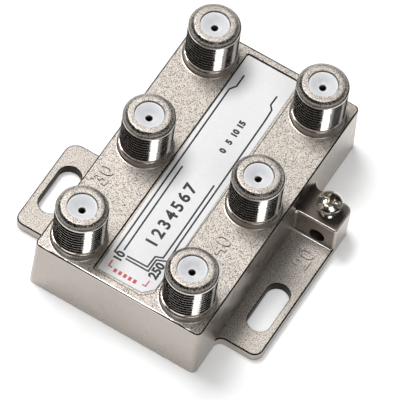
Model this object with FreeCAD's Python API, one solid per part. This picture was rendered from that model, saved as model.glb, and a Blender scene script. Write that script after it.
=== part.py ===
# Coaxial splitter in a zinc die-cast housing, sizes in millimetres.
# The origin is the middle of the back face. +Z points the way the six ports do, +Y runs along
# the long side, and the earth terminal is on the +X side.
import FreeCAD, Part
import math
import os

Vec = FreeCAD.Vector
UP = Vec(0, 0, 1)
tiny = 1e-4
past = 1.0  # how far a cutter runs past what it cuts

# Housing box, measured over the back rim
body_width = 34.5
body_length = 56.9
body_height = 12.9
draft_angle = 1.5
body_corner_radius = 1.1
top_edge_radius = 0.35
wall = 1.6
roof = 1.8

# Fixing lugs, one on each long side
lug_reach = 8.15
lug_thickness = 2.0
lug_near_end = -20.4
lug_far_end = -0.5
lug_corner_radius = 1.8
left_lug_far_radius = 2.4
lug_root_radius = 1.5
lug_edge_radius = 0.35
slot_width = 4.4
slot_length = 10.8
slot_reach = 4.5
slot_middle_y = -10.5
slot_rim_radius = 0.2

# Earth block at the far end of the right-hand lug
block_front = 5.95
block_back = 12.2
block_height = 8.1
block_front_radius = 0.5
block_back_radius = 1.6
block_root_radius = 0.6
block_foot_radius = 0.35
wire_hole_radius = 1.55
wire_hole_reach = 4.55
wire_hole_z = 3.85

# Earth screw, M3
screw_radius = 1.5
screw_length = 4.4
screw_y = 9.2
screw_play = 0.05
head_radius = 2.35
head_rim = 1.25
head_dome = 0.85
head_edge = 0.2
recess_width = 0.75
recess_reach = 1.35
recess_depth = 1.0
recess_foot = 0.35
recess_foot_width = 0.38
screw_slot_width = 0.7
screw_slot_depth = 0.45
tip_chamfer = 0.35
tip_gap = 0.05
thread_countersink = 0.25

# Ports: 3/8-32 threaded barrels cast with the plate
port_side_margin = 6.05
port_end_margin = 5.9
port_height = 10.55
thread_radius = 4.7625
nose_chamfer = 0.9
collar_radius = 4.95
collar_height = 1.5
collar_edge = 0.12
foot_radius = 0.3
mouth_radius = 2.78
lip_depth = 1.2
bore_radius = 3.1

# Insulators
insulator_gap = 0.05
insulator_recess = 0.4
dish_rim = 0.25
dish_depth = 1.15
wire_entry_radius = 0.665
front_wall = 0.8
insulator_foot_radius = 2.4

# Centre contacts
contact_radius = 1.1
contact_gap = 0.05
contact_bore_radius = 0.6
contact_bore_depth = 7.5
contact_slit = 0.3
contact_slit_depth = 5.5
tail_radius = 0.45
tail_end = 0.8
hole_gap = 0.1

# Circuit board and the ledge that it lies against
board_thickness = 1.2
board_drop = 2.7
board_gap = 0.25
board_corner_radius = 1.0
ledge_width = 0.9
stake_side_margin = 4.65
stake_radius = 0.8
stake_length = 0.6
post_radius = 1.5
post_taper = 0.15

# Two-hole ferrite cores under the board
core_width = 4.4
core_length = 4.0
core_height = 2.5
core_hole_radius = 0.6
core_hole_pitch = 2.1
core_bevel = 0.3
core_gap_x = 2.8
core_gap_y = 4.2
core_end_margin = 8.05
core_pair_gap = 6.0

# Windings
wire_radius = 0.17
turn_pitch = 0.4
turn_overhang = 0.55
turn_bend = 0.45

# Choke
drum_radius = 1.75
drum_height = 3.2
drum_flange = 0.5
drum_waist = 0.8
drum_winding_radius = 1.45
winding_gap = 0.03
choke_gap_x = 2.65
choke_shift_y = 4.0

# Ceramic chips on the board
chip_length = 2.0
chip_width = 1.25
chip_height = 0.85
chip_cap = 0.4
chip_lip = 0.04
capacitor_inset = 4.6
resistor_gap_y = 4.5

# Back cover in its rebate
cover_thickness = 0.8
cover_sunk = 0.2
cover_gap = 0.08
rebate_width = 0.6
cover_edge = 0.15

# Recess for the label: rounded rim, near right corner cut off
label_recess_side_gap = 0.3
label_recess_end_margin = 1.85
label_recess_depth = 0.32
label_recess_rim_radius = 0.25
label_recess_corner_radius = 0.4
label_recess_cut = 1.7

# Label, laid into its recess a little askew
label_side_gap = 0.3
label_end_gap = 0.38
label_thickness = 0.14
label_corner_radius = 0.3
label_cut = 1.8
label_turn = 0.55
label_x = -0.02
label_y = 0.2

# Worked out from the sizes above
draft = math.tan(math.radians(draft_angle))
plate_z = body_height
roof_z = body_height - roof
face_z = plate_z + port_height
board_top = roof_z - board_drop
board_bottom = board_top - board_thickness
half_width = body_width / 2
half_length = body_length / 2
lug_edge_x = half_width + lug_reach
slot_offset_x = half_width + slot_reach
wire_hole_x = half_width + wire_hole_reach
port_offset_x = half_width - port_side_margin
port_pitch_y = half_length - port_end_margin
stake_x = half_width - stake_side_margin
label_recess_half_x = port_offset_x - collar_radius - foot_radius - label_recess_side_gap
label_recess_half_y = half_length - label_recess_end_margin
label_floor_z = plate_z - label_recess_depth
head_seat_z = wire_hole_z + wire_hole_radius + tip_gap + screw_length
dish_floor_z = face_z - insulator_recess - dish_depth
chamber_top_z = dish_floor_z - front_wall
port_names = ["in", "out", "tap_1", "tap_2", "tap_3", "tap_4"]
port_places = [(side * port_offset_x, row * port_pitch_y) for row in (-1, 0, 1) for side in (-1, 1)]
ports = list(zip(port_names, port_places))
stake_places = [(side * stake_x, row * port_pitch_y / 2) for row in (-1, 1) for side in (-1, 1)]


def outline(corners, z):
    """A closed wire through the corners (x, y, radius), each rounded by its own radius."""
    edges = []
    starts = []
    ends = []
    count = len(corners)
    for i, (x, y, radius) in enumerate(corners):
        here = Vec(x, y, z)
        before = Vec(corners[i - 1][0], corners[i - 1][1], z) - here
        after = Vec(corners[(i + 1) % count][0], corners[(i + 1) % count][1], z) - here
        before.normalize()
        after.normalize()
        half_turn = before.getAngle(after) / 2
        reach = radius / math.tan(half_turn)
        starts.append(here + before * reach)
        ends.append(here + after * reach)
        if radius:
            inward = (before + after).normalize()
            middle = here + inward * (radius / math.sin(half_turn) - radius)
            edges.append(Part.Arc(starts[i], middle, ends[i]).toShape())
    for i in range(count):
        follows = starts[(i + 1) % count]
        if ends[i].distanceToPoint(follows) > tiny:
            edges.append(Part.LineSegment(ends[i], follows).toShape())
    return Part.Wire(Part.__sortEdges__(edges))


def rounded_rectangle(half_x, half_y, radius, z, middle_x=0.0, middle_y=0.0):
    corners = [(middle_x + sx * half_x, middle_y + sy * half_y, radius)
               for sx, sy in ((-1, -1), (1, -1), (1, 1), (-1, 1))]
    return outline(corners, z)


def cut_rectangle(half_x, half_y, radius, cut, z):
    """A rounded rectangle with its near right corner cut off."""
    corners = [(-half_x, -half_y, radius), (half_x - cut, -half_y, radius), (half_x, cut - half_y, radius),
               (half_x, half_y, radius), (-half_x, half_y, radius)]
    return outline(corners, z)


def prism(wire, height):
    return Part.Face(wire).extrude(UP * height)


def tapered(half_x, half_y, radius, low, high):
    """A block whose four sides lean in by the draft from the back face upwards."""
    levels = [rounded_rectangle(half_x - z * draft, half_y - z * draft, radius, z) for z in (low, high)]
    return Part.makeLoft(levels, True, True)


def turned(profile, x=0.0, y=0.0):
    """A solid of revolution about an upright axis at x, y, from points (radius, height)."""
    points = [Vec(x + r, y, z) for r, z in profile]
    face = Part.Face(Part.makePolygon(points + [points[0]]))
    return face.revolve(Vec(x, y, 0), UP, 360)


def cylinder(radius, low, high, x, y):
    return Part.makeCylinder(radius, high - low, Vec(x, y, low))


def edges_at(shape, z, accept):
    """The edges that lie wholly at height z and whose middle point is accepted."""
    found = []
    for edge in shape.Edges:
        box = edge.BoundBox
        if abs(box.ZMin - z) < tiny and abs(box.ZMax - z) < tiny and accept(box.Center):
            found.append(edge)
    return found


def slot_cutter(side):
    """A round-ended slot along Y through one lug."""
    straight = (slot_length - slot_width) / 2
    radius = slot_width / 2
    x = side * slot_offset_x
    corner = Vec(x - radius, slot_middle_y - straight, 0)
    bar = Part.makeBox(slot_width, 2 * straight, lug_thickness, corner)
    ends = [cylinder(radius, 0, lug_thickness, x, slot_middle_y + end * straight) for end in (-1, 1)]
    return bar.multiFuse(ends)


def lug(side, far_end, far_radius):
    """One flat lug, with its outer corners rounded and its roots blended into the wall."""
    wall_x = side * (half_width - lug_thickness * draft)
    inner_x = side * (half_width - wall)
    near_root = lug_near_end - lug_root_radius
    far_root = far_end + lug_root_radius
    outer_x = side * lug_edge_x
    corners = [(inner_x, near_root, 0), (wall_x, near_root, 0), (wall_x, lug_near_end, lug_root_radius),
               (outer_x, lug_near_end, lug_corner_radius), (outer_x, far_end, far_radius),
               (wall_x, far_end, lug_root_radius), (wall_x, far_root, 0), (inner_x, far_root, 0)]
    plate = prism(outline(corners, 0), lug_thickness)
    rim = edges_at(plate, lug_thickness, lambda p: abs(p.x) > half_width + lug_root_radius)
    plate = plate.makeFillet(lug_edge_radius, rim).cut(slot_cutter(side))
    near_slot = slot_width / 2 + tiny
    slot_rim = edges_at(plate, lug_thickness, lambda p: abs(p.x - side * slot_offset_x) < near_slot)
    return plate.makeFillet(slot_rim_radius, slot_rim)


def block_foot():
    """The small cove along the foot of the earth block's front, which starts inside the wall."""
    radius = block_foot_radius
    start_x = half_width - wall
    low = lug_thickness - radius
    high = lug_thickness + radius
    outer_y = block_front - radius
    inner_y = block_front + radius
    points = [(block_front, high), (inner_y, high), (inner_y, low), (outer_y, low), (outer_y, lug_thickness)]
    points = [Vec(start_x, y, z) for y, z in points]
    sag = radius * math.sqrt(0.5)
    cove = Part.Arc(points[-1], Vec(start_x, outer_y + sag, high - sag), points[0]).toShape()
    wire = Part.Wire(Part.makePolygon(points).Edges + [cove])
    return Part.Face(wire).extrude(Vec(lug_edge_x - block_front_radius - start_x, 0, 0))


def earth_block():
    """The raised block for the earth wire, with its roots blended into the wall."""
    inner_x = half_width - wall
    wall_x = half_width - block_height * draft
    front_root = block_front - block_root_radius
    back_root = block_back + lug_root_radius
    corners = [(inner_x, front_root, 0), (wall_x, front_root, 0), (wall_x, block_front, block_root_radius),
               (lug_edge_x, block_front, block_front_radius), (lug_edge_x, block_back, block_back_radius),
               (wall_x, block_back, lug_root_radius), (wall_x, back_root, 0), (inner_x, back_root, 0)]
    block = prism(outline(corners, 0), block_height)
    rim = edges_at(block, block_height, lambda p: p.x > half_width + block_root_radius)
    return block.makeFillet(lug_edge_radius, rim)


def earth_holes():
    through = block_back - block_front + 2 * past
    wire = Part.makeCylinder(wire_hole_radius, through,
                             Vec(wire_hole_x, block_front - past, wire_hole_z), Vec(0, 1, 0))
    tapped_radius = screw_radius + screw_play
    flare = thread_countersink + past
    high = block_height + past
    profile = [(0, wire_hole_z), (tapped_radius, wire_hole_z), (tapped_radius, high - flare),
               (tapped_radius + flare, high), (0, high)]
    return wire.fuse(turned(profile, wire_hole_x, screw_y))


def barrel(x, y):
    """One port barrel: flared foot, collar, thread at its outer size, chamfered nose."""
    foot_top = plate_z + foot_radius
    collar_top = plate_z + collar_height
    low = plate_z - roof / 2
    foot = collar_radius + foot_radius
    below = [Vec(x + r, y, z) for r, z in ((0, low), (foot, low), (foot, plate_z))]
    above = [(collar_radius, foot_top), (collar_radius, collar_top - collar_edge),
             (collar_radius - collar_edge, collar_top), (thread_radius, collar_top),
             (thread_radius, face_z - nose_chamfer), (thread_radius - nose_chamfer, face_z),
             (0, face_z), (0, low)]
    above = [Vec(x + r, y, z) for r, z in above]
    sag = foot_radius * (1 - math.sqrt(0.5))
    flare = Part.Arc(below[-1], Vec(x + collar_radius + sag, y, plate_z + sag), above[0]).toShape()
    edges = Part.makePolygon(below).Edges + [flare] + Part.makePolygon(above).Edges
    return Part.Face(Part.Wire(edges)).revolve(Vec(x, y, 0), UP, 360)


def barrel_bore(x, y):
    """The hole through one barrel: a narrow mouth, then the seat of the insulator."""
    shoulder = face_z - lip_depth
    profile = [(0, roof_z), (bore_radius, roof_z), (bore_radius, shoulder),
               (mouth_radius, shoulder), (mouth_radius, face_z), (0, face_z)]
    return turned(profile, x, y)


def cavity():
    """The hollow of the casting: board space, the narrower space above the ledge, the rebate."""
    inner_x = half_width - wall
    inner_y = half_length - wall
    radius = body_corner_radius
    lower = tapered(inner_x, inner_y, radius, 0, board_top)
    upper = tapered(inner_x - ledge_width, inner_y - ledge_width, radius, board_top, roof_z)
    rebate_depth = cover_thickness + cover_sunk
    rebate_outline = rounded_rectangle(inner_x + rebate_width, inner_y + rebate_width, radius, 0)
    rebate = prism(rebate_outline, rebate_depth)
    return lower.multiFuse([upper, rebate])


def board_post(x, y):
    """A cast post under the roof with the thin stake that passes through the board."""
    post = Part.makeCone(post_radius, post_radius + post_taper, roof_z - board_top, Vec(x, y, board_top))
    stake = cylinder(stake_radius, board_bottom - stake_length, board_top, x, y)
    return post.fuse(stake)


def with_label_recess(box):
    """Sinks the label's recess into the flat top and rounds its rim."""
    radius = label_recess_corner_radius
    wire = cut_rectangle(label_recess_half_x, label_recess_half_y, radius, label_recess_cut, label_floor_z)
    box = box.cut(prism(wire, label_recess_depth))
    rim = edges_at(box, plate_z, lambda p: abs(p.x) < label_recess_half_x + tiny
                   and abs(p.y) < label_recess_half_y + tiny)
    return box.makeFillet(label_recess_rim_radius, rim)


def housing():
    box = tapered(half_width, half_length, body_corner_radius, 0, plate_z)
    box = box.makeFillet(top_edge_radius, edges_at(box, plate_z, lambda p: True))
    box = with_label_recess(box)
    sides = [lug(-1, lug_far_end, left_lug_far_radius), lug(1, block_back, block_back_radius)]
    sides += [earth_block(), block_foot()]
    outside = box.multiFuse(sides + [barrel(x, y) for _, (x, y) in ports])
    hollow = outside.cut(cavity())
    holes = [barrel_bore(x, y) for _, (x, y) in ports] + [earth_holes()]
    hollow = hollow.cut(holes[0].multiFuse(holes[1:]))
    return hollow.multiFuse([board_post(x, y) for x, y in stake_places]).removeSplitter()


def insulator(x, y):
    """A moulded insulator: dished front with the wire entry, nose in the mouth, foot on the board."""
    nose = mouth_radius - insulator_gap
    body = bore_radius - insulator_gap
    front = face_z - insulator_recess
    shoulder = face_z - lip_depth
    chamber = contact_radius + contact_gap
    profile = [(wire_entry_radius, dish_floor_z), (nose - dish_rim, front), (nose, front), (nose, shoulder),
               (body, shoulder), (body, roof_z), (insulator_foot_radius, roof_z),
               (insulator_foot_radius, board_top), (chamber, board_top), (chamber, chamber_top_z),
               (wire_entry_radius, chamber_top_z)]
    return turned(profile, x, y)


def contact(x, y):
    """A turned socket with a slit for its two spring fingers, and a tail for the board."""
    top = chamber_top_z - contact_gap
    floor = top - contact_bore_depth
    tail = board_bottom - tail_end
    lead = contact_radius - contact_bore_radius
    profile = [(0, tail), (tail_radius, tail), (tail_radius, board_top), (contact_radius, board_top),
               (contact_radius, top - lead / 2), (contact_radius - lead / 2, top),
               (contact_bore_radius, top), (contact_bore_radius, floor), (0, floor)]
    reach = contact_radius + past
    slit = Part.makeBox(2 * reach, contact_slit, contact_slit_depth,
                        Vec(x - reach, y - contact_slit / 2, top - contact_slit_depth))
    return turned(profile, x, y).cut(slit)


def circuit_board():
    half_x = half_width - wall - board_top * draft - board_gap
    half_y = half_length - wall - board_top * draft - board_gap
    board = prism(rounded_rectangle(half_x, half_y, board_corner_radius, board_bottom), board_thickness)
    holes = [cylinder(tail_radius + hole_gap, board_bottom, board_top, x, y) for _, (x, y) in ports]
    holes += [cylinder(stake_radius + hole_gap, board_bottom, board_top, x, y) for x, y in stake_places]
    return board.cut(holes[0].multiFuse(holes[1:]))


def core(x, y):
    """A two-hole ferrite core that lies against the board, its holes along Y."""
    low = board_bottom - core_height
    corner = Vec(x - core_width / 2, y - core_length / 2, low)
    box = Part.makeBox(core_width, core_length, core_height, corner)
    long_edges = [e for e in box.Edges if e.BoundBox.YLength > core_length / 2]
    box = box.makeChamfer(core_bevel, long_edges)
    middle = board_bottom - core_height / 2
    mouths = [Vec(x + side * core_hole_pitch / 2, corner.y, middle) for side in (-1, 1)]
    holes = [Part.makeCylinder(core_hole_radius, core_length, mouth, Vec(0, 1, 0)) for mouth in mouths]
    return box.cut(holes[0].fuse(holes[1]))


def wire_turn(x, y, z):
    """One turn of enamelled wire, through both holes of a core and round its two ends."""
    half_x = core_hole_pitch / 2
    half_y = core_length / 2 + turn_overhang
    path = rounded_rectangle(half_x, half_y, turn_bend, z, x, y)
    start = path.Edges[0].valueAt(path.Edges[0].FirstParameter)
    along = path.Edges[0].tangentAt(path.Edges[0].FirstParameter)
    section = Part.Wire(Part.makeCircle(wire_radius, start, along))
    return path.makePipeShell([section], True, False)


def winding(x, y):
    """Two turns one above the other, with the two ends led up to the board."""
    middle = board_bottom - core_height / 2
    end_y = core_length / 2 + turn_overhang
    turns = [wire_turn(x, y, middle + side * turn_pitch / 2) for side in (-1, 1)]
    low = middle - turn_pitch / 2
    leads = [cylinder(wire_radius, low, board_bottom, x + side * wire_radius, y + side * end_y)
             for side in (-1, 1)]
    return turns[0].multiFuse(turns[1:] + leads)


def choke_core(x, y):
    low = board_bottom - drum_height
    lower = low + drum_flange
    upper = board_bottom - drum_flange
    profile = [(0, low), (drum_radius, low), (drum_radius, lower), (drum_waist, lower),
               (drum_waist, upper), (drum_radius, upper), (drum_radius, board_bottom), (0, board_bottom)]
    return turned(profile, x, y)


def choke_winding(x, y):
    low = board_bottom - drum_height + drum_flange
    high = board_bottom - drum_flange
    inner = drum_waist + winding_gap
    profile = [(inner, low), (drum_winding_radius, low), (drum_winding_radius, high), (inner, high)]
    return turned(profile, x, y)


def chip(x, y):
    """A ceramic chip along X on top of the board, with its two metal end caps."""
    half = chip_length / 2
    stem = half - chip_cap
    top = board_top + chip_height
    body_top = top - chip_lip
    points = [(-half, board_top), (half, board_top), (half, top), (stem, top), (stem, body_top),
              (-stem, body_top), (-stem, top), (-half, top)]
    wire = Part.makePolygon([Vec(x + px, y - chip_width / 2, z) for px, z in points + [points[0]]])
    return Part.Face(wire).extrude(Vec(0, chip_width, 0))


def back_cover():
    half_x = half_width - wall + rebate_width - cover_gap
    half_y = half_length - wall + rebate_width - cover_gap
    radius = body_corner_radius - cover_gap
    cover = prism(rounded_rectangle(half_x, half_y, radius, cover_sunk), cover_thickness)
    return cover.makeChamfer(cover_edge, edges_at(cover, cover_sunk, lambda p: True))


def label():
    half_x = label_recess_half_x - label_side_gap
    half_y = label_recess_half_y - label_end_gap
    wire = cut_rectangle(half_x, half_y, label_corner_radius, label_cut, label_floor_z)
    sheet = prism(wire, label_thickness)
    sheet.rotate(Vec(0, 0, 0), UP, label_turn)
    sheet.translate(Vec(label_x, label_y, 0))
    return sheet


def cross_recess(top):
    """A cross recess whose four wings narrow towards its foot."""
    wings = []
    for turn in (0, 90):
        levels = []
        sections = ((recess_reach, recess_width, top), (recess_foot, recess_foot_width, top - recess_depth))
        for reach, width, z in sections:
            levels.append(rounded_rectangle(reach, width / 2, 0, z))
        wing = Part.makeLoft(levels, True, True)
        wing.rotate(Vec(0, 0, 0), UP, turn)
        wings.append(wing)
    return wings[0].fuse(wings[1])


def earth_screw():
    """A terminal screw with a low domed head, a cross recess and a slot across it."""
    rim_z = head_seat_z + head_rim
    top = rim_z + head_dome
    dome_radius = (head_radius ** 2 + head_dome ** 2) / (2 * head_dome)
    low = head_seat_z - screw_length
    tip = screw_radius - tip_chamfer
    shank = turned([(0, low), (tip, low), (screw_radius, low + tip_chamfer),
                    (screw_radius, head_seat_z + head_edge), (0, head_seat_z + head_edge)])
    rim = turned([(0, head_seat_z), (head_radius - head_edge, head_seat_z),
                  (head_radius, head_seat_z + head_edge), (head_radius, rim_z), (0, rim_z)])
    ball = Part.makeSphere(dome_radius, Vec(0, 0, top - dome_radius))
    dome = ball.common(cylinder(head_radius, rim_z, top + past, 0, 0))
    reach = head_radius + past
    slot = Part.makeBox(2 * reach, screw_slot_width, screw_slot_depth + past,
                        Vec(-reach, -screw_slot_width / 2, top - screw_slot_depth))
    head = rim.multiFuse([dome, shank]).removeSplitter()
    screw = head.cut(cross_recess(top).fuse(slot))
    screw.translate(Vec(wire_hole_x, screw_y, 0))
    return screw


def keep(name, shape):
    if len(shape.Solids) == 1:
        shape = shape.Solids[0]
    shape.exportStep(os.path.join("parts", name + ".step"))
    state = "valid" if shape.isValid() else "BAD"
    print(name, len(shape.Solids), "solid", round(shape.Volume, 3), "mm3", state)


# Places on the board: three cores in a line, then two side by side
core_pitch_x = core_width + core_gap_x
core_pitch_y = core_length + core_gap_y
first_core_y = core_end_margin - half_length
core_pair_y = first_core_y + 2 * core_pitch_y + core_length + core_pair_gap
cores = {
    "coupler": (0, first_core_y),
    "matching": (0, first_core_y + core_pitch_y),
    "splitter_1": (0, first_core_y + 2 * core_pitch_y),
    "splitter_2": (-core_pitch_x / 2, core_pair_y),
    "splitter_3": (core_pitch_x / 2, core_pair_y),
}
choke_place = (-core_width / 2 - choke_gap_x - drum_radius, first_core_y + choke_shift_y)
resistor_places = [cores["splitter_1"]]
resistor_places += [(cores[name][0], core_pair_y + resistor_gap_y) for name in ("splitter_2", "splitter_3")]

os.makedirs("parts", exist_ok=True)
keep("housing", housing())
keep("back_cover", back_cover())
keep("label", label())
keep("circuit_board", circuit_board())
keep("earth_screw", earth_screw())
for port, (px, py) in ports:
    keep("insulator_" + port, insulator(px, py))
    keep("contact_" + port, contact(px, py))
for core_name, (cx, cy) in cores.items():
    stage, joint, number = core_name.partition("_")
    keep(stage + "_core" + joint + number, core(cx, cy))
    keep(stage + "_winding" + joint + number, winding(cx, cy))
keep("choke_core", choke_core(*choke_place))
keep("choke_winding", choke_winding(*choke_place))
for i, (_, (px, py)) in enumerate(ports, start=1):
    outward = math.copysign(1, px)
    keep(f"chip_capacitor_{i}", chip(px - outward * capacitor_inset, py))
for i, (rx, ry) in enumerate(resistor_places, start=1):
    keep(f"chip_resistor_{i}", chip(rx, ry))
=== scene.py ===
# The look of a die-cast coaxial splitter: six threaded sockets on a flat nickel-plated box with
# two slotted lugs and an earth terminal. Lengths are in metres. Names that end in _mm, the profiles
# of turned pieces and the print of the label are in millimetres.
import math

import bpy
from mathutils import Matrix, Vector


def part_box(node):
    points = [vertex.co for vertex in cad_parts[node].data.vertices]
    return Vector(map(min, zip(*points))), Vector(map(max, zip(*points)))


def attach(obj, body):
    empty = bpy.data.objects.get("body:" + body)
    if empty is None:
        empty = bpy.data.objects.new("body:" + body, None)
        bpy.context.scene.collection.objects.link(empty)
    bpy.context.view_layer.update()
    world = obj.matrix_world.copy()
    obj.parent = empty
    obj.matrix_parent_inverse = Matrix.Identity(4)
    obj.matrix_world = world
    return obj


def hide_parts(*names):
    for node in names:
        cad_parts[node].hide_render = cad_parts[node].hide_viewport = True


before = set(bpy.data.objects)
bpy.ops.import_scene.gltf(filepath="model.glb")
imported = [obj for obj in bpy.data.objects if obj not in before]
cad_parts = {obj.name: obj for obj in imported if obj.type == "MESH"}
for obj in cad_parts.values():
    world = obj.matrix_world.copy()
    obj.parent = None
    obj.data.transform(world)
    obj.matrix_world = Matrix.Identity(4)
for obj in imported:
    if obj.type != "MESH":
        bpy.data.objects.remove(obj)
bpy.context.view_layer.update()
mm = 0.001

# Camera: a long lens high above the near right corner, rolled a little, so that the box runs
# from the lower left to the upper right. Its place was found by matching the sockets' rims.
camera_azimuth = math.radians(22.99)
camera_elevation = math.radians(59.25)
camera_roll = math.radians(9.26)
camera_distance = 0.95025
camera_aim = Vector((2.78, -4.37, 12.91)) * mm
camera_lens_mm = 484.63
sensor_width_mm = 36

backward = Vector((math.sin(camera_azimuth) * math.cos(camera_elevation),
                   -math.cos(camera_azimuth) * math.cos(camera_elevation),
                   math.sin(camera_elevation)))
level = Vector((math.cos(camera_azimuth), math.sin(camera_azimuth), 0))
steep = backward.cross(level)
image_right = level * math.cos(camera_roll) + steep * math.sin(camera_roll)
image_up = steep * math.cos(camera_roll) - level * math.sin(camera_roll)
camera_data = bpy.data.cameras.new("camera")
camera_data.lens = camera_lens_mm
camera_data.sensor_width = sensor_width_mm
camera = bpy.data.objects.new("camera", camera_data)
camera_turn = Matrix((image_right, image_up, backward)).transposed().to_4x4()
camera.matrix_world = Matrix.Translation(camera_aim + backward * camera_distance) @ camera_turn
bpy.context.scene.collection.objects.link(camera)
bpy.context.scene.camera = camera
bpy.context.scene.view_settings.view_transform = "Standard"


# Floor and light: a white table under a dark ceiling, as in a small product studio. Two soft boxes,
# high on the left and overhead, light the flat tops and make the shadows. Three on the right draw
# the bright stripe down each threaded barrel, soften its edge and lift the right-hand walls.
def linear(hex_colour):
    """The linear colour of an sRGB hex value such as d9d2ca."""
    parts = [int(hex_colour[i:i + 2], 16) / 255 for i in (0, 2, 4)]
    return [p / 12.92 if p <= 0.04045 else ((p + 0.055) / 1.055) ** 2.4 for p in parts] + [1.0]


def add_node(tree, kind, inputs=(), **settings):
    """Adds a node. An input given as a socket is linked to it, and anything else is its value."""
    made = tree.nodes.new(kind)
    for name, value in settings.items():
        setattr(made, name, value)
    for name, value in dict(inputs).items():
        if isinstance(value, bpy.types.NodeSocket):
            tree.links.new(value, made.inputs[name])
        else:
            made.inputs[name].default_value = value
    return made


def new_material(name):
    """A new material by the given name, with its node tree and its shader."""
    material = bpy.data.materials.new(name)
    material.use_nodes = True
    return material, material.node_tree, material.node_tree.nodes["Principled BSDF"]


floor_size = 4.0
floor_drop = 0.02 * mm
floor_glow = 0.27
bpy.ops.object.select_all(action="DESELECT")
bpy.ops.mesh.primitive_plane_add(size=floor_size, location=(0, 0, -floor_drop))
table_top = bpy.context.object
table_top.name = "table_top"
paper, tree, shader = new_material("white_card")
shader.inputs["Base Color"].default_value = linear("fafafa")
shader.inputs["Roughness"].default_value = 0.9
shader.inputs["Specular IOR Level"].default_value = 0.1
# The card glows a little for the camera and in the metal, which makes it white and keeps its shadow.
ray = add_node(tree, "ShaderNodeLightPath")
seen = add_node(tree, "ShaderNodeMath", {0: ray.outputs["Is Camera Ray"], 1: ray.outputs["Is Glossy Ray"]},
                operation="MAXIMUM")
lift = add_node(tree, "ShaderNodeMath", {0: seen.outputs[0], 1: floor_glow}, operation="MULTIPLY")
shader.inputs["Emission Color"].default_value = linear("ffffff")
tree.links.new(lift.outputs[0], shader.inputs["Emission Strength"])
table_top.data.materials.append(paper)

# The camera sees a white backdrop. The object sees a grey room that grows dark overhead.
world = bpy.data.worlds.new("studio")
bpy.context.scene.world = world
world.use_nodes = True
tree = world.node_tree
sky = tree.nodes["Background"]
sky.inputs["Color"].default_value = linear("ffffff")
ray = add_node(tree, "ShaderNodeLightPath")
place = add_node(tree, "ShaderNodeTexCoord")
height = add_node(tree, "ShaderNodeSeparateXYZ", {0: place.outputs["Generated"]})
fade = add_node(tree, "ShaderNodeMapRange", {"Value": height.outputs["Z"], "From Min": 0.05, "From Max": 0.25,
                                             "To Min": 0.35, "To Max": 0.015})
shown = add_node(tree, "ShaderNodeMath", {0: fade.outputs[0], 1: ray.outputs["Is Camera Ray"]},
                 operation="MAXIMUM")
tree.links.new(shown.outputs[0], sky.inputs["Strength"])


lamp_distance = 1.0


def soft_box(name, azimuth, elevation, width, length, power):
    """A rectangular lamp of so many watts that looks at the object from a direction in degrees."""
    lamp = bpy.data.lights.new(name, "AREA")
    lamp.shape = "RECTANGLE"
    lamp.size = width
    lamp.size_y = length
    lamp.energy = power
    holder = bpy.data.objects.new(name, lamp)
    flat = math.cos(math.radians(elevation))
    away = Vector((math.cos(math.radians(azimuth)) * flat, math.sin(math.radians(azimuth)) * flat,
                   math.sin(math.radians(elevation))))
    holder.location = away * lamp_distance
    holder.rotation_euler = away.to_track_quat("Z", "Y").to_euler()
    bpy.context.scene.collection.objects.link(holder)


soft_box("soft_box_left", 159, 66, 0.44, 0.28, 6.7)
soft_box("soft_box_top", 200, 79, 0.44, 0.35, 2.0)
soft_box("soft_box_stripe", -35, 55, 0.36, 0.60, 1.7)
soft_box("soft_box_grey", -13, 52, 0.17, 0.50, 0.12)
soft_box("soft_box_right", 38, 33, 0.60, 0.35, 0.35)


# Casting: box, lugs, earth block and the six socket barrels are one zinc die casting under nickel
# plate. Its flat tops keep the grit of a blasted die and its sides are smoother. The 3/8-32 thread
# of each barrel was cut before plating.
port_places = [(11.2 * side * mm, 22.55 * row * mm) for row in (-1, 0, 1) for side in (-1, 1)]
thread_radius_mm = 4.7625
thread_pitch = 25.4 / 32 * mm
thread_depth = 0.45 * mm
thread_root_flat = 0.03 * mm
thread_crest_flat = 0.04 * mm
thread_lead_in = 0.03 * mm
thread_turns = 11
barrel_foot_mm = 14.3
collar_top = 14.4 * mm
nose_top_mm = 23.45
nose_top = nose_top_mm * mm
plate_top = 12.9 * mm
lug_top = 2.0 * mm
weld = 0.001 * mm


def start_edit(piece, mode="VERT"):
    """Opens one piece alone in edit mode with everything in it selected."""
    bpy.ops.object.select_all(action="DESELECT")
    piece.select_set(True)
    bpy.context.view_layer.objects.active = piece
    bpy.ops.object.mode_set(mode="EDIT")
    bpy.ops.mesh.select_mode(type=mode)
    bpy.ops.mesh.select_all(action="SELECT")


def end_edit():
    """Goes back to object mode, which writes the mesh."""
    bpy.ops.object.mode_set(mode="OBJECT")


def draw_wire(name, points, closed=False):
    """Draws a line of edges through points by extruding one corner of a plane from each to the next."""
    bpy.ops.object.select_all(action="DESELECT")
    bpy.ops.mesh.primitive_plane_add(size=mm, location=(0, 0, 0))
    piece = bpy.context.object
    piece.name = name
    start_edit(piece)
    bpy.ops.mesh.merge(type="CENTER")
    bpy.ops.transform.translate(value=points[0])
    for before, after in zip(points, points[1:]):
        step = Vector(after) - Vector(before)
        bpy.ops.mesh.extrude_vertices_move(TRANSFORM_OT_translate={"value": step})
    bpy.ops.mesh.select_all(action="SELECT")
    if closed:
        bpy.ops.mesh.edge_face_add()
        bpy.ops.mesh.delete(type="ONLY_FACE")
    end_edit()
    return piece


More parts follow.
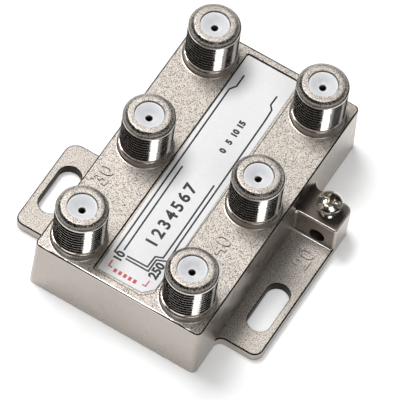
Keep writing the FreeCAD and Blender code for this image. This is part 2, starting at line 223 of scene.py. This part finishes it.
def draw_turned(name, profile, steps):
    """A solid of revolution about the Z axis from points (radius, height) in millimetres."""
    hollow = profile[0][0] > 0
    piece = draw_wire(name, [(r * mm, 0, z * mm) for r, z in profile], closed=hollow)
    start_edit(piece)
    bpy.ops.mesh.spin(steps=steps, angle=math.tau, center=(0, 0, 0), axis=(0, 0, 1))
    bpy.ops.mesh.select_all(action="SELECT")
    bpy.ops.mesh.remove_doubles(threshold=weld / 10)
    bpy.ops.mesh.normals_make_consistent(inside=False)
    end_edit()
    return piece


def apply_modifier(piece, kind, **settings):
    """Puts one modifier on a piece and applies it."""
    bpy.ops.object.select_all(action="DESELECT")
    piece.select_set(True)
    bpy.context.view_layer.objects.active = piece
    modifier = piece.modifiers.new(kind.lower(), kind)
    for name, value in settings.items():
        setattr(modifier, name, value)
    bpy.ops.object.modifier_apply(modifier=modifier.name)


def helical_groove(name, radius, pitch, depth, root_flat, crest_flat, start_z, turns, steps):
    """A closed V-shaped coil that cuts a right-hand thread into a shaft of that radius."""
    half_mouth = (pitch - crest_flat) / 2
    middle = start_z + half_mouth
    # The V runs on past the surface, so that the cut leaves no slivers along the crests.
    beyond = 0.02 * mm
    half_end = half_mouth + beyond * (half_mouth - root_flat / 2) / depth
    section = [(radius - depth, 0, middle - root_flat / 2), (radius + beyond, 0, middle - half_end),
               (radius + beyond, 0, middle + half_end), (radius - depth, 0, middle + root_flat / 2)]
    coil = draw_wire(name, section, closed=True)
    apply_modifier(coil, "SCREW", angle=math.tau, screw_offset=pitch, iterations=turns, steps=steps,
                   render_steps=steps, use_merge_vertices=False, use_smooth_shade=False)
    start_edit(coil)
    bpy.ops.mesh.fill_holes(sides=len(section))
    bpy.ops.mesh.select_all(action="SELECT")
    bpy.ops.mesh.normals_make_consistent(inside=False)
    end_edit()
    return coil


def copy_to(piece, name, x, y):
    """A copy of a piece with its own mesh, moved by x and y."""
    twin = bpy.data.objects.new(name, piece.data.copy())
    twin.data.transform(Matrix.Translation((x, y, 0)))
    bpy.context.scene.collection.objects.link(twin)
    return twin


def join(pieces):
    """Joins pieces into the first of them."""
    bpy.ops.object.select_all(action="DESELECT")
    for piece in pieces:
        piece.select_set(True)
    bpy.context.view_layer.objects.active = pieces[0]
    bpy.ops.object.join()
    return pieces[0]


def raised_figure(text, tall, thick, x, y, z, weight):
    """Plain figures read along +Y: a solid that stands thick above height z, its outline grown by weight."""
    sunk = 0.05 * mm
    bpy.ops.object.select_all(action="DESELECT")
    bpy.ops.object.text_add()
    figure = bpy.context.object
    figure.data.body = text
    figure.data.align_x = "CENTER"
    figure.data.align_y = "CENTER"
    figure.data.size = tall
    figure.data.offset = weight
    figure.data.extrude = (thick + sunk) / 2
    figure.data.resolution_u = 3
    bpy.ops.object.convert(target="MESH")
    figure = bpy.context.object
    figure.location = (x, y, z + (thick - sunk) / 2)
    figure.rotation_euler = (0, 0, math.pi / 2)
    bpy.ops.object.transform_apply(location=True, rotation=True, scale=True)
    start_edit(figure)
    bpy.ops.mesh.remove_doubles(threshold=weld / 10)
    bpy.ops.mesh.normals_make_consistent(inside=False)
    end_edit()
    return figure


def smooth(piece, degrees=35):
    """Smooth shading led by the larger faces, with every edge sharper than the angle kept crisp."""
    bpy.ops.object.select_all(action="DESELECT")
    piece.select_set(True)
    bpy.context.view_layer.objects.active = piece
    if piece.data.has_custom_normals:
        bpy.ops.mesh.customdata_custom_splitnormals_clear()
    bpy.ops.object.shade_smooth_by_angle(angle=math.radians(degrees))
    apply_modifier(piece, "WEIGHTED_NORMAL", keep_sharp=True)


def finish_with(piece, *materials):
    """Gives a piece these materials alone, the first of them all over."""
    piece.data.materials.clear()
    for material in materials:
        piece.data.materials.append(material)
    for face in piece.data.polygons:
        face.material_index = 0


def combine(piece, operation, other):
    """Adds another solid to a piece or cuts it off, and removes the other."""
    apply_modifier(piece, "BOOLEAN", operation=operation, object=other, solver="MANIFOLD")
    bpy.data.objects.remove(other)


def at_each_port(piece):
    """Six joined copies of a piece, one on each socket's axis, in the piece's place."""
    group = join([copy_to(piece, piece.name + "_copy", x, y) for x, y in port_places])
    bpy.data.objects.remove(piece)
    return group


casting = bpy.data.objects.new("casting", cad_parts["housing"].data.copy())
bpy.context.scene.collection.objects.link(casting)
start_edit(casting)
bpy.ops.mesh.remove_doubles(threshold=weld)
end_edit()

# The plain outside of each barrel gives way to a finely stepped one, whose thread is cut in the same
# steps. A narrow land at its upper end closes the thread under the chamfer of the nose.
barrel_steps = 96
cut_bore_mm = 3.3
cut_width_mm = 5.6
cut_foot_mm = 14.41
cut_top_mm = 24.0
skin_bore_mm = 3.2
old_skin = draw_turned("old_skin", [(cut_bore_mm, cut_foot_mm), (cut_width_mm, cut_foot_mm),
                                    (cut_width_mm, cut_top_mm), (cut_bore_mm, cut_top_mm)], barrel_steps)
combine(casting, "DIFFERENCE", at_each_port(old_skin))
rounded_shoulder = [(thread_radius_mm, 22.50), (4.745, 22.56), (4.70, 22.6125)]
chamfer = [(4.26, 23.0525), (3.92, 23.3925), (3.88, 23.43), (3.84, nose_top_mm)]
barrel_profile = ([(skin_bore_mm, barrel_foot_mm), (thread_radius_mm, barrel_foot_mm)] + rounded_shoulder
                  + chamfer + [(skin_bore_mm, nose_top_mm)])
barrel_skin = draw_turned("barrel_skin", barrel_profile, barrel_steps)
groove = helical_groove("groove", thread_radius_mm * mm, thread_pitch, thread_depth, thread_root_flat,
                        thread_crest_flat, collar_top + thread_lead_in, thread_turns, barrel_steps)
combine(barrel_skin, "DIFFERENCE", groove)
land_bore_mm = 4.1
land_foot_mm = 22.26
land_profile = ([(land_bore_mm, land_foot_mm), (thread_radius_mm, land_foot_mm)] + rounded_shoulder
                + [(land_bore_mm, rounded_shoulder[-1][1])])
combine(barrel_skin, "UNION", draw_turned("land", land_profile, barrel_steps))
combine(casting, "UNION", at_each_port(barrel_skin))

# Two raised figures stand on the plate and one on the earth lug.
figure_height = 4.2 * mm
figure_rise = 0.25 * mm
figure_weight = 0.1 * mm
figure_places = [("30", -14.1, -9.4, plate_top), ("40", 10.6, -10.2, plate_top), ("20", 22.0, 1.6, lug_top)]
figures = [raised_figure(text, figure_height, figure_rise, x * mm, y * mm, z, figure_weight)
           for text, x, y, z in figure_places]
combine(casting, "UNION", join(figures))
smooth(casting, 30)
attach(casting, "splitter")
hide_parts("housing")

# Nickel over a blasted die face: warm grey with dark pits. The grit is about a fifth of a millimetre
# wide, which is one pixel of the picture.
blasted_nickel, tree, shader = new_material("nickel_over_blasted_face")
place = add_node(tree, "ShaderNodeTexCoord")
grit_size = 0.18 * mm
grit = add_node(tree, "ShaderNodeTexNoise", {"Vector": place.outputs["Object"], "Scale": 1 / grit_size,
                                             "Detail": 3.0, "Roughness": 0.65})
shade = add_node(tree, "ShaderNodeMapRange", {"Value": grit.outputs["Fac"], "From Min": 0.38,
                                              "From Max": 0.52})
colour = add_node(tree, "ShaderNodeMix", {0: shade.outputs[0], 6: linear("574f49"), 7: linear("d2cbc3")},
                  data_type="RGBA")
relief = add_node(tree, "ShaderNodeBump", {"Height": grit.outputs["Fac"], "Strength": 0.5,
                                           "Distance": 0.06 * mm})
tree.links.new(colour.outputs[2], shader.inputs["Base Color"])
tree.links.new(relief.outputs[0], shader.inputs["Normal"])
shader.inputs["Metallic"].default_value = 1.0
shader.inputs["Roughness"].default_value = 0.56

# The drafted walls left the die smooth: satin nickel with slow flow marks of a few millimetres.
satin_nickel, tree, shader = new_material("satin_nickel_wall")
place = add_node(tree, "ShaderNodeTexCoord")
flow = add_node(tree, "ShaderNodeTexNoise", {"Vector": place.outputs["Object"], "Scale": 1 / (2.5 * mm),
                                             "Detail": 2.0})
haze = add_node(tree, "ShaderNodeMapRange", {"Value": flow.outputs["Fac"], "From Min": 0.3, "From Max": 0.7,
                                             "To Min": 0.24, "To Max": 0.36})
colour = add_node(tree, "ShaderNodeMix", {0: flow.outputs["Fac"], 6: linear("a9a199"), 7: linear("b7b0a9")},
                  data_type="RGBA")
relief = add_node(tree, "ShaderNodeBump", {"Height": flow.outputs["Fac"], "Strength": 0.10,
                                           "Distance": 0.2 * mm})
tree.links.new(colour.outputs[2], shader.inputs["Base Color"])
tree.links.new(haze.outputs[0], shader.inputs["Roughness"])
tree.links.new(relief.outputs[0], shader.inputs["Normal"])
shader.inputs["Metallic"].default_value = 1.0

# The threads were cut before plating, so they are nearly a mirror, with a little fine grit left.
bright_nickel, tree, shader = new_material("bright_nickel_thread")
place = add_node(tree, "ShaderNodeTexCoord")
fine = add_node(tree, "ShaderNodeTexNoise", {"Vector": place.outputs["Object"], "Scale": 1 / (0.9 * mm),
                                             "Detail": 3.0, "Roughness": 0.6})
haze = add_node(tree, "ShaderNodeMapRange", {"Value": fine.outputs["Fac"], "From Min": 0.3, "From Max": 0.7,
                                             "To Min": 0.07, "To Max": 0.16})
relief = add_node(tree, "ShaderNodeBump", {"Height": fine.outputs["Fac"], "Strength": 0.09,
                                           "Distance": 0.05 * mm})
tree.links.new(haze.outputs[0], shader.inputs["Roughness"])
tree.links.new(relief.outputs[0], shader.inputs["Normal"])
shader.inputs["Base Color"].default_value = linear("d3cdc7")
shader.inputs["Metallic"].default_value = 1.0

# The upper half of the chamfer round each nose is dark, with bright specks a quarter of a
# millimetre wide.
specked_nickel, tree, shader = new_material("specked_nickel_chamfer")
place = add_node(tree, "ShaderNodeTexCoord")
speck = add_node(tree, "ShaderNodeTexNoise", {"Vector": place.outputs["Object"], "Scale": 1 / (0.25 * mm),
                                              "Detail": 3.0, "Roughness": 0.7})
shade = add_node(tree, "ShaderNodeMapRange", {"Value": speck.outputs["Fac"], "From Min": 0.46,
                                              "From Max": 0.60})
colour = add_node(tree, "ShaderNodeMix", {0: shade.outputs[0], 6: linear("3c3632"), 7: linear("d8d2cb")},
                  data_type="RGBA")
relief = add_node(tree, "ShaderNodeBump", {"Height": speck.outputs["Fac"], "Strength": 0.5,
                                           "Distance": 0.08 * mm})
tree.links.new(colour.outputs[2], shader.inputs["Base Color"])
tree.links.new(relief.outputs[0], shader.inputs["Normal"])
shader.inputs["Metallic"].default_value = 1.0
shader.inputs["Roughness"].default_value = 0.34

# The inside of the wire hole and the top of the earth block, the screw's seat, are painted a dark zinc grey
# with
# faint marks: painted shade in the hole, and the same dark tone on the block.
darkened_zinc, tree, shader = new_material("zinc_painted_dark_in_wire_hole_and_on_block")
place = add_node(tree, "ShaderNodeTexCoord")
zinc_mottle = add_node(tree, "ShaderNodeTexNoise", {"Vector": place.outputs["Object"], "Scale": 1 / (0.3 * mm)})
colour = add_node(tree, "ShaderNodeMix", {0: zinc_mottle.outputs["Fac"], 6: linear("443c37"), 7: linear("746b64")},
                  data_type="RGBA")
tree.links.new(colour.outputs[2], shader.inputs["Base Color"])
shader.inputs["Metallic"].default_value = 1.0
shader.inputs["Roughness"].default_value = 0.55

# The steep walls of the label's recess, the slots and the figures, and the small radii along the edges are
# painted near black: painted shade on the walls and in the recesses, painted dark reflection on the radii.
shade_painted_nickel, tree, shader = new_material("nickel_painted_dark_as_shade_on_radii_and_recesses")
place = add_node(tree, "ShaderNodeTexCoord")
shade_mottle = add_node(tree, "ShaderNodeTexNoise", {"Vector": place.outputs["Object"], "Scale": 1 / (0.6 * mm)})
colour = add_node(tree, "ShaderNodeMix", {0: shade_mottle.outputs["Fac"], 6: linear("1f1b18"), 7: linear("3b3531")},
                  data_type="RGBA")
tree.links.new(colour.outputs[2], shader.inputs["Base Color"])
shader.inputs["Metallic"].default_value = 1.0
shader.inputs["Roughness"].default_value = 0.5

# These places part one finish from the next.
barrel_reach = 5.35 * mm
chamfer_foot = 22.63 * mm
speck_foot = 23.06 * mm
block_top = 8.1 * mm
wire_hole_x = 21.8 * mm
wire_hole_y = 5 * mm
wire_hole_z = 3.85 * mm
wire_hole_radius = 1.56 * mm
recess_half_width = 5.92 * mm
recess_half_length = 26.9 * mm
recess_floor = plate_top - 0.4 * mm
slot_x = 21.75 * mm
slot_y = -10.5 * mm
slot_straight = 3.2 * mm
slot_reach = 2.5 * mm
# A rise is the upward part of a face's normal: 1 looks straight up and 0 is an upright wall.
level_rise = 0.97
edge_rise = 0.95
wall_rise = 0.9
low_edge_rise = 0.3
draft_rise = 0.08


def casting_finish(face):
    """The finish of a face of the casting, or the painted shade on it, by its place and its rise."""
    spot = face.center
    rise = face.normal.z
    from_port = min(math.hypot(spot.x - x, spot.y - y) for x, y in port_places)
    from_wire = math.hypot(spot.x - wire_hole_x, spot.z - wire_hole_z)
    from_slot = math.hypot(abs(spot.x) - slot_x, max(abs(spot.y - slot_y) - slot_straight, 0))
    above_plate = spot.z > plate_top + weld
    above_floor = spot.z > lug_top / 2
    on_lug_edge = above_floor and spot.z < lug_top - weld
    in_recess = (abs(spot.x) < recess_half_width and abs(spot.y) < recess_half_length
                 and spot.z > recess_floor)
    if spot.z > nose_top - weld:
        return blasted_nickel
    if from_port < barrel_reach and above_plate:
        if spot.z < collar_top:
            return satin_nickel
        if spot.z > speck_foot:
            return specked_nickel
        return blasted_nickel if spot.z > chamfer_foot else bright_nickel
    # Painted shade inside the wire hole.
    if from_wire < wire_hole_radius and spot.y > wire_hole_y and abs(face.normal.y) < 0.1:
        return darkened_zinc
    # Painted shade on the walls of the label's recess.
    if in_recess and -0.1 < rise < wall_rise:
        return shade_painted_nickel
    # Painted shade on the walls of the slots and the figures.
    if abs(rise) < wall_rise and (from_slot < slot_reach or above_plate):
        return shade_painted_nickel
    # Flat tops: the earth block's top is painted the same dark zinc grey.
    if rise > level_rise and above_floor:
        return darkened_zinc if abs(spot.z - block_top) < weld else blasted_nickel
    # Painted dark reflection on the small radii along the edges.
    if low_edge_rise < rise < edge_rise and (on_lug_edge or spot.z > block_top + weld):
        return shade_painted_nickel
    if rise > draft_rise and above_floor:
        return bright_nickel
    return satin_nickel


finishes = [satin_nickel, blasted_nickel, bright_nickel, darkened_zinc, shade_painted_nickel, specked_nickel]
finish_with(casting, *finishes)
for face in casting.data.polygons:
    face.material_index = finishes.index(casting_finish(face))


# Insulators: one white acetal moulding is pressed into each barrel. Its shallow dish leads the
# cable's centre wire to the hole in the middle. Acetal has a soft gloss and lets a little light in.
white_moulding, tree, shader = new_material("moulded_white_acetal")
place = add_node(tree, "ShaderNodeTexCoord")
cloud = add_node(tree, "ShaderNodeTexNoise", {"Vector": place.outputs["Object"], "Scale": 1 / (1.5 * mm),
                                              "Detail": 2.0})
colour = add_node(tree, "ShaderNodeMix", {0: cloud.outputs["Fac"], 6: linear("e0e2e5"), 7: linear("ecedef")},
                  data_type="RGBA")
tree.links.new(colour.outputs[2], shader.inputs["Base Color"])
shader.inputs["Roughness"].default_value = 0.38
shader.inputs["IOR"].default_value = 1.48
shader.inputs["Subsurface Weight"].default_value = 0.05
shader.inputs["Subsurface Scale"].default_value = 0.4 * mm
shader.inputs["Subsurface Radius"].default_value = (1.0, 1.0, 1.0)

dish_profile = [(0.665, 21.90), (1.28, 22.24), (1.38, 22.40), (2.36, 23.03), (2.46, 23.06), (2.62, 23.05)]
outer_profile = [(2.65, 23.02), (2.65, 22.25), (3.05, 22.25), (3.05, 11.10), (2.40, 11.10), (2.40, 8.40)]
inner_profile = [(1.15, 8.40), (1.15, 21.10), (0.665, 21.82)]
insulator_steps = 72
moulding = draw_turned("moulding", dish_profile + outer_profile + inner_profile, insulator_steps)
for port, (x, y) in zip(("in", "out", "tap_1", "tap_2", "tap_3", "tap_4"), port_places):
    insulator = copy_to(moulding, "white_insulator_" + port, x, y)
    smooth(insulator)
    finish_with(insulator, white_moulding)
    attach(insulator, "splitter")
    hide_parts("insulator_" + port)
bpy.data.objects.remove(moulding)


# Centre contacts: turned phosphor bronze sockets, slit into two spring fingers. Only their mouths can be
# seen, deep in the holes of the insulators, and they are painted dark brown: painted shade that keeps the
# holes black.
def dress(names, material):
    """Gives a finish to CAD pieces that keep their own shape."""
    for name in names:
        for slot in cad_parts[name].material_slots:
            slot.material = material


bronze_in_painted_shade, tree, shader = new_material("phosphor_bronze_painted_dark_as_shade")
place = add_node(tree, "ShaderNodeTexCoord")
fine = add_node(tree, "ShaderNodeTexNoise", {"Vector": place.outputs["Object"], "Scale": 1 / (0.4 * mm)})
colour = add_node(tree, "ShaderNodeMix", {0: fine.outputs["Fac"], 6: linear("4a4238"), 7: linear("665c4e")},
                  data_type="RGBA")
tree.links.new(colour.outputs[2], shader.inputs["Base Color"])
shader.inputs["Metallic"].default_value = 1.0
shader.inputs["Roughness"].default_value = 0.35
# The contacts are painted dark brown as shade deep in the holes.
dress([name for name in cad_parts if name.startswith("contact_")], bronze_in_painted_shade)


# Label: a matt white plastic film in the shallow recess of the plate. Its print is black and red
# ink: double lines that lead from socket to socket, and plain figures.
white_film, tree, shader = new_material("matt_white_film")
place = add_node(tree, "ShaderNodeTexCoord")
tooth = add_node(tree, "ShaderNodeTexNoise", {"Vector": place.outputs["Object"], "Scale": 1 / (0.8 * mm),
                                              "Detail": 2.0})
colour = add_node(tree, "ShaderNodeMix", {0: tooth.outputs["Fac"], 6: linear("e9e9eb"), 7: linear("f3f3f4")},
                  data_type="RGBA")
tree.links.new(colour.outputs[2], shader.inputs["Base Color"])
shader.inputs["Roughness"].default_value = 0.5
dress(["label"], white_film)


def ink(name, first, second):
    """A matt ink, a little uneven as screen print is."""
    material, tree, shader = new_material(name)
    place = add_node(tree, "ShaderNodeTexCoord")
    patch = add_node(tree, "ShaderNodeTexNoise", {"Vector": place.outputs["Object"], "Scale": 1 / (0.5 * mm)})
    colour = add_node(tree, "ShaderNodeMix", {0: patch.outputs["Fac"], 6: linear(first), 7: linear(second)},
                      data_type="RGBA")
    tree.links.new(colour.outputs[2], shader.inputs["Base Color"])
    shader.inputs["Roughness"].default_value = 0.45
    return material


label_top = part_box("label")[1].z
ink_height = 0.012 * mm
ink_weight = 0.1 * mm


def printed_line(points, width):
    """A line of ink of a width through points (x, y), in millimetres: a strip on edge, thickened."""
    strip = draw_wire("printed_line", [(x * mm, y * mm, label_top - ink_height) for x, y in points])
    start_edit(strip, "EDGE")
    bpy.ops.mesh.extrude_edges_move(TRANSFORM_OT_translate={"value": (0, 0, 2 * ink_height)})
    end_edit()
    apply_modifier(strip, "SOLIDIFY", thickness=width * mm, offset=0, use_even_offset=True)
    return strip


def printed_figure(text, tall, x, y):
    """Bold printed figures of a height and at a place in millimetres."""
    return raised_figure(text, tall * mm, ink_height, x * mm, y * mm, label_top, ink_weight)


def finish_print(pieces, name, material):
    """Joins all that is printed in one ink and fixes it to the label."""
    printed = join(pieces)
    printed.name = name
    finish_with(printed, material)
    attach(printed, "splitter")


# The lines are drawn from the near end of the label to the far one, all in millimetres.
line_width_mm = 0.32
left_outer_line = [(-3.92, -21.62), (-4.38, -21.55), (-4.42, -16.49), (-4.73, 18.38), (-3.94, 19.63),
                   (-3.96, 22.36)]
left_inner_line = [(-3.14, -20.48), (-3.22, -15.7), (-3.44, 0.0)]
right_outer_line = [(-2.06, -21.74), (2.60, -21.72), (2.62, -18.99), (4.46, -18.14), (4.27, -13.69),
                    (4.0, 16.45), (3.88, 18.78), (3.16, 19.66), (3.20, 21.85)]
right_inner_line = [(-2.10, -21.15), (2.03, -21.05), (2.12, -18.52), (3.41, -17.97), (3.41, -12.27),
                    (3.30, -0.29)]
black_print = [printed_line(line, line_width_mm)
               for line in (left_outer_line, left_inner_line, right_outer_line, right_inner_line)]
black_print += [printed_figure("10", 2.1, -3.15, -21.95), printed_figure("250", 2.3, 3.9, -20.85)]
digit_spacing_mm = 2.2
scale_spacing_mm = 2.15
black_print += [printed_figure(digit, 3.2, 0.2, -16.4 + digit_spacing_mm * i)
                for i, digit in enumerate("1234567")]
black_print += [printed_figure(str(5 * i), 1.6, 0.95, 6.7 + scale_spacing_mm * i) for i in range(4)]
finish_print(black_print, "black_print", ink("black_ink", "0c0c0d", "161617"))

red_print = [printed_line([(side * 3.8, -23.2), (side * 3.78, -24.55), (side * 3.08, -24.58)], 0.24)
             for side in (-1, 1)]
red_print += [printed_line([(x, -24.4), (x, -25.2)], 0.6) for x in (-2.3, -1.3, -0.3, 0.7, 1.7)]
finish_print(red_print, "red_print", ink("red_ink", "c23a44", "d2545c"))


# Earth screw: an M3 steel terminal screw, zinc plated and bright, with a domed head that has a
# straight slot and a cross recess, and a rolled thread. It turns in the block on the right lug.
screw_x = 21.8 * mm
screw_y = 9.2 * mm
shank_radius_mm = 1.5
head_radius_mm = 2.35
head_seat_mm = 9.85
head_rim_mm = 11.10
head_top_mm = 11.95
screw_tip_mm = 5.45
screw_steps = 72
dome_steps = 10
screw_pitch = 0.5 * mm
screw_thread_depth = 0.3 * mm
screw_thread_flat = 0.06 * mm
screw_thread_start = (screw_tip_mm - 0.15) * mm
screw_turns = 9
dome_rise_mm = head_top_mm - head_rim_mm
dome_radius_mm = (head_radius_mm ** 2 + dome_rise_mm ** 2) / (2 * dome_rise_mm)
dome = []
for step in range(1, dome_steps + 1):
    reach_mm = head_radius_mm * (1 - step / dome_steps)
    dome.append((reach_mm, head_top_mm - dome_radius_mm + math.sqrt(dome_radius_mm ** 2 - reach_mm ** 2)))
shank = [(0.0, screw_tip_mm), (1.15, screw_tip_mm), (shank_radius_mm, screw_tip_mm + 0.35),
         (shank_radius_mm, head_seat_mm)]
head = [(2.15, head_seat_mm), (2.28, head_seat_mm + 0.05), (head_radius_mm, head_seat_mm + 0.2),
        (head_radius_mm, head_rim_mm - 0.06)]
screw = draw_turned("screw", shank + head + dome, screw_steps)
groove = helical_groove("screw_groove", shank_radius_mm * mm, screw_pitch, screw_thread_depth,
                        screw_thread_flat, screw_thread_flat, screw_thread_start, screw_turns, screw_steps)
combine(screw, "DIFFERENCE", groove)


def tapered_bar(name, foot_x, foot_y, top_x, top_y, low, high):
    """A bar on the Z axis that widens from its foot to its top, in millimetres."""
    bpy.ops.object.select_all(action="DESELECT")
    bpy.ops.mesh.primitive_plane_add(size=mm, location=(0, 0, low * mm))
    bpy.ops.object.transform_apply(location=True)
    bar = bpy.context.object
    bar.name = name
    start_edit(bar)
    bpy.ops.transform.resize(value=(foot_x, foot_y, 1))
    bpy.ops.mesh.extrude_region_move(TRANSFORM_OT_translate={"value": (0, 0, (high - low) * mm)})
    bpy.ops.transform.resize(value=(top_x / foot_x, top_y / foot_y, 1))
    bpy.ops.mesh.select_all(action="SELECT")
    bpy.ops.mesh.normals_make_consistent(inside=False)
    end_edit()
    return bar


# The slot runs right across the head, and the cross tapers from its wings to a blunt point.
above_mm = head_top_mm + 0.4
slot_floor_mm = head_top_mm - 0.7
cross_floor_mm = head_top_mm - 1.25
for bar in (tapered_bar("slot", 5.2, 0.8, 5.2, 0.8, slot_floor_mm, above_mm),
            tapered_bar("wing", 0.70, 0.50, 3.9, 1.15, cross_floor_mm, above_mm),
            tapered_bar("wing", 0.50, 0.70, 1.15, 3.9, cross_floor_mm, above_mm)):
    combine(screw, "DIFFERENCE", bar)
screw.data.transform(Matrix.Translation((screw_x, screw_y, 0)))
screw.name = "terminal_screw"
smooth(screw)

zinc_plate, tree, shader = new_material("bright_zinc_plate")
place = add_node(tree, "ShaderNodeTexCoord")
fine = add_node(tree, "ShaderNodeTexNoise", {"Vector": place.outputs["Object"], "Scale": 1 / (0.5 * mm),
                                             "Detail": 2.0})
haze = add_node(tree, "ShaderNodeMapRange", {"Value": fine.outputs["Fac"], "From Min": 0.3, "From Max": 0.7,
                                             "To Min": 0.12, "To Max": 0.22})
tree.links.new(haze.outputs[0], shader.inputs["Roughness"])
shader.inputs["Base Color"].default_value = linear("e4dfd6")
shader.inputs["Metallic"].default_value = 1.0
finish_with(screw, zinc_plate)
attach(screw, "earth_screw")
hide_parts("earth_screw")


# Back cover: thin plated steel, pressed into the rebate of the open back. Cold rolling left fine
# lines along its length.
rolled_steel, tree, shader = new_material("plated_rolled_steel")
place = add_node(tree, "ShaderNodeTexCoord")
stretch = add_node(tree, "ShaderNodeMapping", {"Vector": place.outputs["Object"],
                                               "Scale": (1 / (0.3 * mm), 1 / (9 * mm), 1 / (0.3 * mm))})
lines = add_node(tree, "ShaderNodeTexNoise", {"Vector": stretch.outputs[0], "Scale": 1.0, "Detail": 3.0})
colour = add_node(tree, "ShaderNodeMix", {0: lines.outputs["Fac"], 6: linear("b3aea8"), 7: linear("cbc7c2")},
                  data_type="RGBA")
relief = add_node(tree, "ShaderNodeBump", {"Height": lines.outputs["Fac"], "Strength": 0.15,
                                           "Distance": 0.03 * mm})
tree.links.new(colour.outputs[2], shader.inputs["Base Color"])
tree.links.new(relief.outputs[0], shader.inputs["Normal"])
shader.inputs["Metallic"].default_value = 1.0
shader.inputs["Roughness"].default_value = 0.36
dress(["back_cover"], rolled_steel)


# Circuit board: glass-epoxy laminate, staked to the ledge of the casting. The weave of its glass
# cloth shows through as a fine check.
glass_epoxy, tree, shader = new_material("glass_epoxy_laminate")
place = add_node(tree, "ShaderNodeTexCoord")
weave = add_node(tree, "ShaderNodeTexChecker", {"Vector": place.outputs["Object"], "Scale": 1 / (0.45 * mm),
                                                "Color1": linear("8a8a4a"), "Color2": linear("7c7d40")})
tree.links.new(weave.outputs["Color"], shader.inputs["Base Color"])
shader.inputs["Roughness"].default_value = 0.42
dress(["circuit_board"], glass_epoxy)


# Cores: pressed and fired manganese-zinc ferrite, glued to the board. They are dull black with a
# fine grain.
ferrite, tree, shader = new_material("fired_ferrite")
place = add_node(tree, "ShaderNodeTexCoord")
grain = add_node(tree, "ShaderNodeTexNoise", {"Vector": place.outputs["Object"], "Scale": 1 / (0.2 * mm)})
colour = add_node(tree, "ShaderNodeMix", {0: grain.outputs["Fac"], 6: linear("1f1e20"), 7: linear("3a393b")},
                  data_type="RGBA")
tree.links.new(colour.outputs[2], shader.inputs["Base Color"])
shader.inputs["Roughness"].default_value = 0.65
dress([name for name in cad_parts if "_core" in name], ferrite)


# Windings: copper wire under a clear amber enamel, threaded through the cores by hand and soldered
# to the board.
enamelled_copper, tree, shader = new_material("enamelled_copper_wire")
place = add_node(tree, "ShaderNodeTexCoord")
tint = add_node(tree, "ShaderNodeTexNoise", {"Vector": place.outputs["Object"], "Scale": 1 / (0.6 * mm)})
colour = add_node(tree, "ShaderNodeMix", {0: tint.outputs["Fac"], 6: linear("9c4f24"), 7: linear("c0743c")},
                  data_type="RGBA")
tree.links.new(colour.outputs[2], shader.inputs["Base Color"])
shader.inputs["Metallic"].default_value = 1.0
shader.inputs["Roughness"].default_value = 0.3
shader.inputs["Coat Weight"].default_value = 0.6
dress([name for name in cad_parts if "_winding" in name], enamelled_copper)


# Chips: fired ceramic blocks soldered to the board, brown for the capacitors and with a black glaze
# for the resistors.
for kind, dark, light in (("capacitor", "8c6f52", "a5876a"), ("resistor", "18181a", "2a2a2d")):
    ceramic, tree, shader = new_material("chip_" + kind + "_ceramic")
    place = add_node(tree, "ShaderNodeTexCoord")
    grain = add_node(tree, "ShaderNodeTexNoise", {"Vector": place.outputs["Object"], "Scale": 1 / (0.3 * mm)})
    colour = add_node(tree, "ShaderNodeMix", {0: grain.outputs["Fac"], 6: linear(dark), 7: linear(light)},
                      data_type="RGBA")
    tree.links.new(colour.outputs[2], shader.inputs["Base Color"])
    shader.inputs["Roughness"].default_value = 0.4
    dress([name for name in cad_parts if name.startswith("chip_" + kind)], ceramic)
